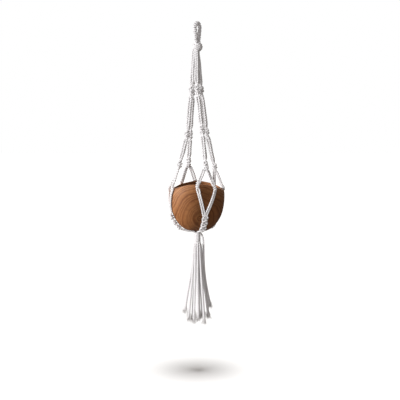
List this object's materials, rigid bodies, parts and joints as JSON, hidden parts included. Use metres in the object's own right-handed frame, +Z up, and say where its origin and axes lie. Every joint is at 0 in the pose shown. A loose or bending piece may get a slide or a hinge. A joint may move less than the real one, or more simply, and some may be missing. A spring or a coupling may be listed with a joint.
{
  "type": "hanging macrame planter",
  "caption": "Knotted cotton cord hanger with a loop, a sling of four arms and a tassel, holding a turned wooden bowl.",
  "frame": {"origin": "inside top of the hanging loop, where the hook bears", "axes": "+Z up along the hanger, -Y towards the front, +X to the right seen from the front"},
  "size_m": [0.1789, 0.1823, 0.9257],
  "materials": {
    "cotton_cord": "undyed white three-ply cotton cord, matt",
    "turned_wood": "oiled, fine turned surface with growth rings"
  },
  "bodies": {
    "loop": {"hanging_loop": "cotton_cord"},
    "crown": {"crown_knot": "cotton_cord"},
    "sling": {"left_upper_cords": "cotton_cord", "left_top_knot": "cotton_cord", "left_middle_cords": "cotton_cord", "left_middle_knot": "cotton_cord", "left_lower_cords": "cotton_cord", "left_lower_knot": "cotton_cord", "left_left_leg": "cotton_cord", "left_right_leg": "cotton_cord", "left_left_rim_knot": "cotton_cord", "left_right_rim_knot": "cotton_cord", "left_cradle_cords": "cotton_cord", "left_sinnet": "cotton_cord", "front_upper_cords": "cotton_cord", "front_top_knot": "cotton_cord", "front_middle_cords": "cotton_cord", "front_middle_knot": "cotton_cord", "front_lower_cords": "cotton_cord", "front_lower_knot": "cotton_cord", "front_left_leg": "cotton_cord", "front_right_leg": "cotton_cord", "front_left_rim_knot": "cotton_cord", "front_right_rim_knot": "cotton_cord", "front_cradle_cords": "cotton_cord", "front_sinnet": "cotton_cord", "right_upper_cords": "cotton_cord", "right_top_knot": "cotton_cord", "right_middle_cords": "cotton_cord", "right_middle_knot": "cotton_cord", "right_lower_cords": "cotton_cord", "right_lower_knot": "cotton_cord", "right_left_leg": "cotton_cord", "right_right_leg": "cotton_cord", "right_left_rim_knot": "cotton_cord", "right_right_rim_knot": "cotton_cord", "right_cradle_cords": "cotton_cord", "right_sinnet": "cotton_cord", "back_upper_cords": "cotton_cord", "back_top_knot": "cotton_cord", "back_middle_cords": "cotton_cord", "back_middle_knot": "cotton_cord", "back_lower_cords": "cotton_cord", "back_lower_knot": "cotton_cord", "back_left_leg": "cotton_cord", "back_right_leg": "cotton_cord", "back_left_rim_knot": "cotton_cord", "back_right_rim_knot": "cotton_cord", "back_cradle_cords": "cotton_cord", "back_sinnet": "cotton_cord", "base_cords": "cotton_cord"},
    "bowl": {"wooden_bowl": "turned_wood"},
    "wrap": {"gathering_wrap": "cotton_cord", "gathered_cords": "cotton_cord"},
    "tassel": {"left_tassel_strands": "cotton_cord", "front_tassel_strands": "cotton_cord", "right_tassel_strands": "cotton_cord", "back_tassel_strands": "cotton_cord", "wrap_tail": "cotton_cord"}
  },
  "joints": [
    {"name": "side_swing", "type": "hinge", "parent": "loop", "child": "crown", "pos_m": [0, 0, -0.066], "axis": [0, 1, 0], "range_deg": [-20, 20]},
    {"name": "front_swing", "type": "hinge", "parent": "crown", "child": "sling", "pos_m": [0, 0, -0.066], "axis": [1, 0, 0], "range_deg": [-20, 20]},
    {"name": "bowl_turn", "type": "hinge", "parent": "sling", "child": "bowl", "pos_m": [0, 0, -0.627], "axis": [0, 0, 1], "continuous": true},
    {"name": "wrap_swing", "type": "hinge", "parent": "sling", "child": "wrap", "pos_m": [0, 0, -0.6365], "axis": [0, 1, 0], "range_deg": [-12, 12]},
    {"name": "tassel_swing", "type": "hinge", "parent": "wrap", "child": "tassel", "pos_m": [0, 0, -0.668], "axis": [1, 0, 0], "range_deg": [-20, 20]}
  ]
}
